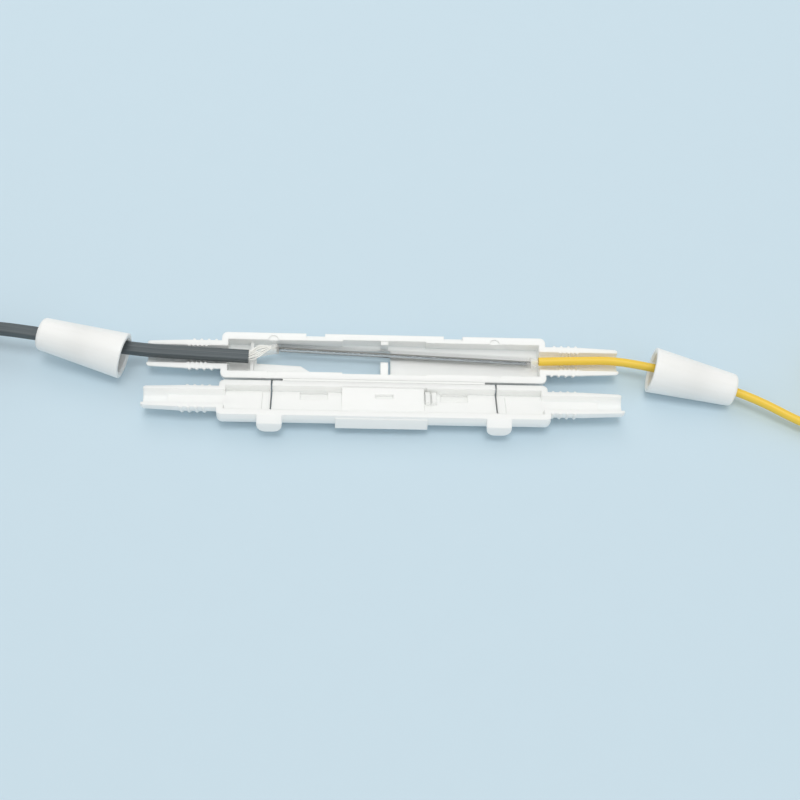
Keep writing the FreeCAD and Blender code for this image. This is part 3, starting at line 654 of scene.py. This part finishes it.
@dataclass
class ScrewCap:
    """A conical cap with a thread wound in its bore. Mouth and end are in metres, its sizes in millimetres."""

    node: str
    body: Body
    mouth: np.ndarray
    end: np.ndarray
    length: float = 20.0
    mouth_radius: float = 5.35
    end_radius: float = 3.85
    end_round: float = 1.0
    lip_round: float = 0.25
    hole_radius: float = 2.5
    bore_radius: float = 4.0
    thread_height: float = 0.35
    thread_start: float = 2.0
    thread_turns: int = 4
    pitch: float = 1.7
    neck: float = 11.5
    throat: float = 16.5
    lead_in: float = 0.45
    hole_bevel: float = 0.15
    runout: float = 0.6
    tooth_gain: float = 1.4
    tooth_drop: float = 0.25
    fade_turns: float = 0.4
    columns: int = 144
    lip_rows: int = 9
    end_rows: int = 13
    side_rows: int = 24
    hole_rows: int = 5
    bore_rows: int = 72
    table_gap: float = 0.05

    def section(self) -> np.ndarray:
        """The cap's wall as x and r, from the lead-in round the outside to the bore.

        Returns:
            Rows of x and r in millimetres.
        """
        quarter = np.linspace(0, np.pi / 2, self.lip_rows)
        taper = math.atan2(self.mouth_radius - self.end_radius, self.length)
        lip = self.lip_round
        rounded_lip = np.stack(
            [lip - lip * np.cos(quarter), self.mouth_radius - lip + lip * np.sin(quarter)], 1
        )
        big = self.end_round
        swing = np.linspace(np.pi / 2 - taper, 0, self.end_rows)
        rounded_end = np.stack(
            [self.length - big + big * np.cos(swing), self.end_radius - big + big * np.sin(swing)], 1
        )
        outside = np.linspace(rounded_lip[-1], rounded_end[0], self.side_rows)[1:-1]
        hole_r, bore_r, bevel = self.hole_radius, self.bore_radius, self.hole_bevel
        edge = np.array([(self.length, hole_r + bevel), (self.length - bevel, hole_r)])
        hole = np.linspace((self.length - 2 * bevel, hole_r), (self.throat, hole_r), self.hole_rows)
        bore_end = self.thread_start + self.pitch * self.thread_turns
        throat = np.array([(self.neck, bore_r - self.thread_height / 2), (bore_end + self.runout, bore_r)])
        bore = np.linspace((bore_end, bore_r), (self.lead_in, bore_r), self.bore_rows)
        mouth = np.array([(0.0, bore_r + self.lead_in)])
        return np.concatenate([rounded_lip, outside, rounded_end, edge, hole, throat, bore, mouth])

    def build(self) -> None:
        """Turn the section, with the bore's radius lowered along a helix.

        The ridge is a rounded tooth: the clipped cosine of the turns along the bore less the share of a turn round
        it. It fades in and out at the thread's ends.
        """
        section = self.section()
        angle = np.linspace(0, 1, self.columns, endpoint=False)
        x = section[:, :1]
        in_bore = np.isclose(section[:, 1:], self.bore_radius)
        turns = (x - self.thread_start) / self.pitch
        wave = np.cos(2 * np.pi * (turns - angle[None]))
        tooth = np.clip(wave * self.tooth_gain - self.tooth_drop, 0, 1)
        fade_in = np.clip(turns / self.fade_turns, 0, 1)
        fade_out = np.clip((self.thread_turns - turns) / self.fade_turns, 0, 1)
        ridge = tooth * (fade_in * fade_out) * self.thread_height
        radius = section[:, 1:] - np.where(in_bore, ridge, 0.0)
        axis = (self.end - self.mouth) / np.linalg.norm(self.end - self.mouth)
        profile = np.hstack([x, radius]) * MM
        mesh = turned(self.node + "_turned", profile, self.mouth, axis, self.columns)
        cap = place(mesh, WHITE_PP, self.body)
        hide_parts(self.node)


@dataclass
class SpliceSleeve:
    """The fused splice in its shrink sleeve, with the strands before it and its drawn-in ends, in millimetres."""

    radius: float = 1.33
    strand_radius: float = 0.11
    left_end: tuple[tuple[float, float, float], ...] = (
        (-31.2, -0.4, -0.05),
        (-29.6, 0.15, -0.35),
        (-27.6, 1.6, -1.35),
        (-25.2, 2.47, -1.98),
    )
    left_shares: tuple[float, ...] = (0.42, 0.55, 0.8, 0.97)
    right_end: tuple[tuple[float, float, float], ...] = (
        (34.4, -0.39, -0.62),
        (35.4, -0.3, -0.5),
        (36.2, -0.15, -0.3),
    )
    right_shares: tuple[float, ...] = (0.97, 0.7, 0.42)
    end_resolution: int = 12
    strand_resolution: int = 10
    strand_columns: int = 10
    # A strand's points: x, y and z, then the shares of its across and bow in y, and of its rise and reach in z
    strand_route: tuple[tuple[float, ...], ...] = (
        (-31.7, -0.45, 0.0, 1.0, 0.0, 0.8, 0.0),
        (-30.8, -0.35, 0.15, 1.0, 0.3, 1.0, 0.0),
        (-29.4, 0.35, 0.1, 0.8, 1.0, 0.7, 0.0),
        (-28.0, 1.2, -0.35, 0.5, 0.6, 0.0, 1.0),
        (-26.6, 2.1, -0.75, 0.3, 0.0, 0.0, 0.5),
    )
    # Each strand's across, rise, bow and reach
    strands: tuple[tuple[float, float, float, float], ...] = (
        (0.7, 0.5, 0.5, 0.55),
        (0.25, 0.6, 0.9, 0.2),
        (-0.3, 0.35, 0.2, -0.25),
        (-0.75, -0.2, -0.35, 0.35),
        (1.05, -0.1, 0.15, 0.8),
        (0.5, 0.2, -0.3, 0.65),
        (-0.05, 0.75, 0.45, 0.45),
        (0.9, 0.4, 0.75, 0.3),
        (-0.55, 0.6, -0.1, 0.6),
        (1.15, 0.55, 0.55, 0.65),
        (0.1, 0.3, 1.15, 0.5),
        (0.4, 0.9, 1.5, 0.75),
        (0.0, 0.1, -0.7, 0.1),
        (0.85, 0.75, 1.05, 0.9),
    )

    def build(self) -> None:
        """Dress the sleeve's nodes and add its drawn-in ends and the cable's strands."""
        dress("sleeve_tube", CLEAR_SHRINK)
        dress("sleeve_lining", HOT_MELT)
        dress("sleeve_rod", GROUND_STEEL)
        dress("splice_fibre", COATED_FIBRE)
        dress("pigtail_buffer", TIGHT_BUFFER)
        self.drawn_end("sleeve_left_end", self.left_end, self.left_shares)
        self.drawn_end("sleeve_right_end", self.right_end, self.right_shares)
        for number, (across, rise, bow, reach) in enumerate(self.strands):
            self.strand(f"strand_{number}", across, rise, bow, reach)

    def drawn_end(self, name: str, points: tuple, shares: tuple[float, ...]) -> None:
        """A round end that narrows along its route: its radius runs through the given shares of the tube's.

        Args:
            name: the piece's name.
            points: route in the base half's frame, in millimetres.
            shares: the radius at even steps along the route, as shares of the tube's radius.
        """
        path = nurbs_line(in_base(points), self.end_resolution)
        step = lengths(path) / lengths(path)[-1]
        size = np.interp(step, np.linspace(0, 1, len(shares)), shares)
        mesh = carried(name, path, ring(self.radius), size=size)
        place(mesh, MILKY_SHRINK, Body.BASE)

    def strand(self, name: str, across: float, rise: float, bow: float, reach: float) -> None:
        """A thin strand from the cut jacket to the sleeve's drawn-in end, on a slack spline.

        Args:
            name: the piece's name.
            across: where it leaves the jacket, from the cable's middle.
            rise: its height there.
            bow: how far its middle stands off the straight line.
            reach: how far up the sleeve's end it lies.
        """
        x, y, z, with_across, with_bow, with_rise, with_reach = np.array(self.strand_route).T
        y = y + across * with_across + bow * with_bow
        z = z + rise * with_rise + reach * with_reach
        path = nurbs_line(in_base(np.stack([x, y, z], 1)), self.strand_resolution)
        mesh = carried(name, path, ring(self.strand_radius, self.strand_columns))
        place(mesh, ARAMID, Body.BASE)


class CableKind(Enum):
    """The two cables that meet in the splice."""

    DROP = "drop"
    PIGTAIL = "pigtail"


@dataclass
class Cable:
    """A cable from the splice to its put-away hank and connector, on one smooth spline.

    Its length is in metres, its other sizes are in millimetres and its angles in degrees.
    """

    kind: CableKind
    finish: Finish
    slot: str
    route: list[tuple[float, float, float]]
    leaves: tuple[float, float, float]
    middle: tuple[float, float]
    outward: int
    run: float
    bend: float
    pitch: float
    layer: float
    width: float
    stiffness: Stiffness
    length: float = 1.0
    lift: float = 0.45
    jacket_share: float = 0.97
    tie_thickness: float = 0.4
    tie_length: float = 8.0
    connector_height: float = 7.4
    axis_run: float = -8.0
    layers: int = 2
    turns: int = 3
    line_resolution: int = 8
    loop_reach: float = 80.0
    loop_step: float = 20.0
    ease_margin: float = 0.06
    tie_gap: float = 0.02
    connector_gap: float = 0.05
    climb_points: int = 7
    climb_start: float = 15.0
    climb_step: float = 25.0
    climb_inset: float = 1.5
    lead_straight: tuple[float, float] = (2.0, 6.9)
    jacket_corner: float = 0.45
    corner_rows: int = 6
    notch_half: float = 0.24
    notch_lip: float = 0.1
    notch_depth: float = 0.12
    # One side of the tearing notch, as shares of its half width and depth
    notch_side: tuple[tuple[float, float], ...] = ((1.0, 0.1), (0.35, 0.8), (0.0, 1.0))
    twist_start: float = 60.0
    twist_length: float = 22.0
    tie_corner: float = 0.9
    tie_corner_rows: int = 7

    def hank_points(self) -> np.ndarray:
        """Lay the turns of the hank.

        Each goes along one side, round the far loop, back, and round the near loop into the next turn. Loop points
        stand out by the amount that the spline cuts inside them.

        Returns:
            Rows of x, y and height in millimetres, from the hank's middle.
        """
        radii = [self.bend - self.pitch * k for k in range(self.turns)]
        radii = radii + radii[::-1]
        levels = [k // self.turns + 0.5 for k in range(self.turns * self.layers)]
        heights = [self.lift + self.layer * level for level in levels]
        half = self.run / 2
        swing = np.radians(np.arange(-self.loop_reach, self.loop_reach + 1, self.loop_step))
        outside = 1 / math.cos(math.radians(self.loop_step / 2))
        found = []
        for number, (radius, height) in enumerate(zip(radii, heights)):
            wide = radius * outside
            far = np.stack([half + wide * np.cos(swing), wide * np.sin(swing)], 1)
            found.append([(-half / 3, -radius, height), (half / 3, -radius, height)])
            found.append(np.column_stack([far, np.full(len(far), height)]))
            found.append([(half / 3, radius, height), (-half / 3, radius, height)])
            if number + 1 < len(radii):
                share = np.linspace(self.ease_margin, 1 - self.ease_margin, len(swing))
                ease = share * share * (3 - 2 * share)
                size = (radius + (radii[number + 1] - radius) * ease) * outside
                rise = height + (heights[number + 1] - height) * ease
                found.append(np.stack([-half - size * np.cos(swing), -size * np.sin(swing), rise], 1))
        return np.concatenate([np.asarray(part, float) for part in found])

    def lead_points(self) -> np.ndarray:
        """The lead that climbs out of the hank's near loop to the connector that lies on it.

        Returns:
            Rows of x, y and height in millimetres, from the hank's middle.
        """
        top = self.lift + self.layer * self.layers + self.tie_gap + self.tie_thickness
        axis_height = top + self.connector_height / 2 + self.connector_gap
        start_height = self.lift + self.layer * (self.layers - 0.5)
        steps = np.arange(self.climb_points)
        angle = np.radians(self.climb_start + self.climb_step * steps)
        near = -self.run / 2
        x = near - (self.bend - self.climb_inset) * np.sin(angle)
        y = (self.bend + self.axis_run) / 2 + (self.bend - self.axis_run) / 2 * np.cos(angle)
        rise = start_height + (axis_height - start_height) / (self.climb_points + 1) * (steps + 1)
        straight = [(near + reach, self.axis_run, axis_height) for reach in self.lead_straight]
        return np.concatenate([np.stack([x, y, rise], 1), straight])

    def line(self) -> np.ndarray:
        """Smooth the route, hank and lead into one line.

        Returns:
            Points in metres, from the splice to the connector.
        """
        hank = np.concatenate([self.hank_points(), self.lead_points()])
        hank[:, :2] = hank[:, :2] * self.outward + self.middle
        return nurbs_line(on_hinge_line(np.concatenate([self.route, hank])), self.line_resolution)

    def profile(self) -> np.ndarray:
        """Draw the cable's section.

        A round one is a circle. The flat one is a rectangle with rounded corners and a tearing notch along the
        middle of each wide side, drawn a little under its named size so that its mesh clears the shut lid.

        Returns:
            A closed outline in metres, counter-clockwise.
        """
        if self.kind is CableKind.PIGTAIL:
            return ring(self.width / 2)
        thick, corner = self.pitch, self.jacket_corner
        bend = np.linspace(0, np.pi / 2, self.corner_rows)
        across, up = self.width / 2 - corner, thick / 2 - corner
        arc = np.stack([across + corner * np.cos(bend), up + corner * np.sin(bend)], 1)
        lip = [(self.notch_half + self.notch_lip, 0.0)]
        dent = np.concatenate([lip, np.array(self.notch_side) * (self.notch_half, self.notch_depth)])
        dent = np.concatenate([dent, (dent * (-1, 1))[-2::-1]])
        face = np.stack([dent[:, 0], thick / 2 - dent[:, 1]], 1)
        half = np.concatenate([arc, face, (arc * (-1, 1))[::-1]])
        return np.concatenate([half, -half]) * self.jacket_share * MM

    def build(self) -> None:
        """Make the cable and its tie, and dress its connector."""
        path = self.line()
        turn: np.ndarray | float = 0.0
        if self.kind is CableKind.DROP:
            share = np.clip((lengths(path) - self.twist_start * MM) / (self.twist_length * MM), 0, 1)
            turn = np.pi / 2 * share * share * (3 - 2 * share)
        name = self.kind.value
        mesh = carried(name + "_cord", path, self.profile(), turn)
        cord = place(mesh, self.finish, Body.BASE)
        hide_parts(name + "_cable", name + "_hank", name + "_lead")
        tie = self.tie()
        connector = [f"{name}_connector_{part}" for part in ("boot", "housing", "ferrule")]
        for node, finish in zip(connector, (GREEN_RUBBER, GREEN_PBT, ZIRCONIA)):
            dress(node, finish)

    def tie(self) -> bpy.types.Object:
        """Make a band round the hank: a flat strip carried round a rectangle with rounded corners.

        Returns:
            The piece.
        """
        reach = self.bend + self.pitch / 2 + self.tie_gap + self.tie_thickness / 2
        height = self.layer * self.layers + 2 * self.tie_gap + self.tie_thickness
        corner = self.tie_corner
        swing = np.linspace(0, np.pi / 2, self.tie_corner_rows)
        arc = np.stack([np.cos(swing), np.sin(swing)], 1) * corner + (reach - corner, height / 2 - corner)
        top_half = np.concatenate([arc, (arc * (-1, 1))[::-1]])
        loop = np.concatenate([top_half, -top_half])
        edge = np.roll(loop, -1, 0) - np.roll(loop, 1, 0)
        normal = np.stack([edge[:, 1], -edge[:, 0]], 1)
        normal /= np.linalg.norm(normal, axis=1, keepdims=True)
        strip = np.array([(-1, -1), (1, -1), (1, 1), (-1, 1)]) * (self.tie_length / 2, self.tie_thickness / 2)
        around = loop[:, None] + normal[:, None] * strip[None, :, 1:]
        level = np.broadcast_to(strip[None, :, :1], (len(loop), len(strip), 1))
        grid = np.concatenate([level, around], 2)
        grid = grid + (self.middle[0], self.middle[1], self.lift + self.layer * self.layers / 2)
        along = lengths(np.concatenate([loop, loop[:1]])) * MM
        across = lengths(np.concatenate([strip, strip[:1]])) * MM
        flat = on_hinge_line(grid).reshape(grid.shape)
        mesh = grid_mesh(self.kind.value + "_tie_band", flat, along, across, loop_along=True)
        tie = place(mesh, NYLON_TIE, Body.BASE)
        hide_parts(self.kind.value + "_tie")
        return tie


# Studio


@dataclass(frozen=True)
class Lamp:
    """A lamp aimed at the part. Its width is in degrees for a sun and in metres for a box."""

    name: str
    kind: LampKind
    energy: float
    width: float
    spot: tuple[float, float, float]

    def hang(self) -> None:
        """Put the lamp in the scene."""
        data = bpy.data.lights.new(self.name, self.kind.value)
        data.energy = self.energy
        if self.kind is LampKind.SUN:
            data.angle = math.radians(self.width)
        else:
            data.size = self.width
        lamp = bpy.data.objects.new(data.name, data)
        bpy.context.scene.collection.objects.link(lamp)
        lamp.location = self.spot
        lamp.rotation_euler = (-Vector(self.spot)).to_track_quat("-Z", "Y").to_euler()


# A wide ceiling light overhead, a soft box on the far side and another in front
LAMPS = (
    Lamp("ceiling", LampKind.SUN, 0.82, 25.0, (0.0, -0.08, 0.80)),
    Lamp("far_softbox", LampKind.BOX, 0.8, 0.55, (-0.10, 0.42, 0.62)),
    Lamp("near_softbox", LampKind.BOX, 0.5, 0.6, (0.25, -0.55, 0.60)),
)


@dataclass
class Studio:
    """Camera, soft light and a plain pale floor."""

    focal_px: float = 1224.2
    image_px: int = 800
    elevation: float = 56.808
    yaw: float = 4.623
    roll: float = 4.968
    stand: tuple[float, float, float] = (-8.82, -158.815, 235.78)
    sensor_mm: float = 36.0
    clip_m: tuple[float, float] = (0.01, 10.0)
    floor_half_m: float = 3.0
    floor_colour: str = "#CBDFEB"
    floor_roughness: float = 0.85
    backdrop_colour: str = "#DCE8EF"
    backdrop_strength: float = 1.0
    room_colour: str = "#FDFDFA"
    room_strength: float = 0.6

    def build(self) -> None:
        """Set up the view, the floor and the light."""
        self.camera()
        self.floor()
        self.light()
        bpy.context.scene.view_settings.view_transform = "Standard"

    def camera(self) -> None:
        """Stand the camera where the photograph was taken from."""
        tip, yaw, roll = (math.radians(angle) for angle in (self.elevation, self.yaw, self.roll))
        back = Vector((-math.sin(yaw) * math.cos(tip), -math.cos(yaw) * math.cos(tip), math.sin(tip)))
        level = Vector((math.cos(yaw), -math.sin(yaw), 0))
        above = back.cross(level)
        right = level * math.cos(roll) + above * math.sin(roll)
        up = above * math.cos(roll) - level * math.sin(roll)
        data = bpy.data.cameras.new("photograph_view")
        data.sensor_width = self.sensor_mm
        data.lens = data.sensor_width * self.focal_px / self.image_px
        data.clip_start, data.clip_end = self.clip_m
        camera = bpy.data.objects.new("photograph_view", data)
        bpy.context.scene.collection.objects.link(camera)
        turn = Matrix((right, up, back)).transposed().to_4x4()
        camera.matrix_world = Matrix.Translation(Vector((HINGE + self.stand) * MM)) @ turn
        bpy.context.scene.camera = camera

    def floor(self) -> None:
        """Lay a large plain sheet at the table's height."""
        far = self.floor_half_m
        corners = [(-far, -far, 0), (far, -far, 0), (far, far, 0), (-far, far, 0)]
        mesh = bpy.data.meshes.new("floor")
        mesh.from_pydata(corners, [], [range(len(corners))])
        floor = bpy.data.objects.new("floor", mesh)
        bpy.context.scene.collection.objects.link(floor)
        # Matt backdrop paper: one even pale tone with no grain
        paper = Finish(
            "matt_backdrop_paper", self.floor_colour, self.floor_colour, self.floor_roughness, grain_depth_mm=0.0,
        )
        mesh.materials.append(paper.material())

    def light(self) -> None:
        """Hang the lamps in a pale room, where the camera, metal and clear plastic see the backdrop's colour."""
        for lamp in LAMPS:
            lamp.hang()
        world = bpy.data.worlds.new("studio")
        bpy.context.scene.world = world
        world.use_nodes = True
        tree = world.node_tree
        tree.nodes.clear()
        rays = add_node(tree, "ShaderNodeLightPath")
        shown = (rays, "Is Camera Ray")
        for kind in ("Is Glossy Ray", "Is Transmission Ray"):
            either = add_node(tree, "ShaderNodeMath", {"operation": "MAXIMUM"}, {0: shown, 1: (rays, kind)})
            shown = (either, 0)
        room, backdrop = (
            add_node(tree, "ShaderNodeBackground", {"Color": linear(colour), "Strength": strength})
            for colour, strength in (
                (self.room_colour, self.room_strength),
                (self.backdrop_colour, self.backdrop_strength),
            )
        )
        both = add_node(tree, "ShaderNodeMixShader", None, {0: shown, 1: (room, 0), 2: (backdrop, 0)})
        add_node(tree, "ShaderNodeOutputWorld", None, {"Surface": (both, 0)})


# Routes from the splice outwards, from the hinge line, with heights above the table, in millimetres
DROP_ROUTE = [
    (-31.6, 5.365, 4.978),
    (-44.5, 5.93, 5.09),
    (-58.5, 6.43, 5.36),
    (-82.5, 9.03, 7.9),
    (-93.0, 10.62, 7.2),
    (-102.5, 13.75, 4.0),
    (-110.0, 14.95, 2.1),
    (-115.0, 15.0, 1.95),
]
PIGTAIL_ROUTE = [
    (36.3, 5.726, 4.756),
    (44.5, 6.02, 4.95),
    (57.5, 6.38, 5.03),
    (83.5, -0.83, 4.1),
    (99.5, -10.12, 2.6),
    (110.5, -12.7, 1.6),
    (118.0, -12.6, 1.45),
]
# The left cap hangs on its cable: the middles of its mouth and its end, measured as the routes are
LEFT_CAP_MOUTH, LEFT_CAP_END = (-60.15, 4.485, 5.4), (-79.53, 8.875, 7.66)
# The right cap lies on the table: the middle of its mouth, and a point under the far end of its axis
RIGHT_CAP_MOUTH, RIGHT_CAP_END = (62.69, 3.675), (81.44, -0.625)


def lying_axis(mouth_xy: tuple[float, float], end_xy: tuple[float, float]) -> tuple[np.ndarray, np.ndarray]:
    """The axis of a cap that lies on the table on the side of its cone.

    Args:
        mouth_xy: middle of its mouth from the hinge line.
        end_xy: a point under the far end of its axis.

    Returns:
        The middles of its mouth and end, in metres.
    """
    fall = math.atan2(ScrewCap.mouth_radius - ScrewCap.end_radius, ScrewCap.length)
    heading = np.array((end_xy[0] - mouth_xy[0], end_xy[1] - mouth_xy[1], 0.0))
    heading /= np.linalg.norm(heading)
    height = ScrewCap.mouth_radius * math.cos(fall) + ScrewCap.table_gap
    mouth = on_hinge_line((*mouth_xy, height))[0]
    axis = heading * math.cos(fall) - UP * math.sin(fall)
    return mouth, mouth + axis * ScrewCap.length * MM


def main() -> None:
    """Build every sub-assembly in order."""
    logging.basicConfig(level=logging.INFO, format="%(message)s")
    Studio().build()
    Cable(
        CableKind.DROP, BLACK_PE, "black_jacket", DROP_ROUTE,
        leaves=(-55.1, 6.31, 5.29), middle=(-132.0, 2.0), outward=-1,
        run=40.0, bend=13.0, pitch=2.0, layer=3.0, width=3.0, stiffness=Stiffness.STIFF,
    ).build()
    Cable(
        CableKind.PIGTAIL, YELLOW_PVC, "yellow_jacket", PIGTAIL_ROUTE,
        leaves=(55.1, 6.31, 5.02), middle=(136.5, 0.7), outward=1,
        run=38.0, bend=13.3, pitch=2.0, layer=2.0, width=2.0, stiffness=Stiffness.MEDIUM,
    ).build()
    Shells().build()
    ScrewCap("left_cap", Body.LEFT_CAP, *on_hinge_line([LEFT_CAP_MOUTH, LEFT_CAP_END])).build()
    ScrewCap("right_cap", Body.RIGHT_CAP, *lying_axis(RIGHT_CAP_MOUTH, RIGHT_CAP_END)).build()
    SpliceSleeve().build()


if __name__ == "__main__":
    main()
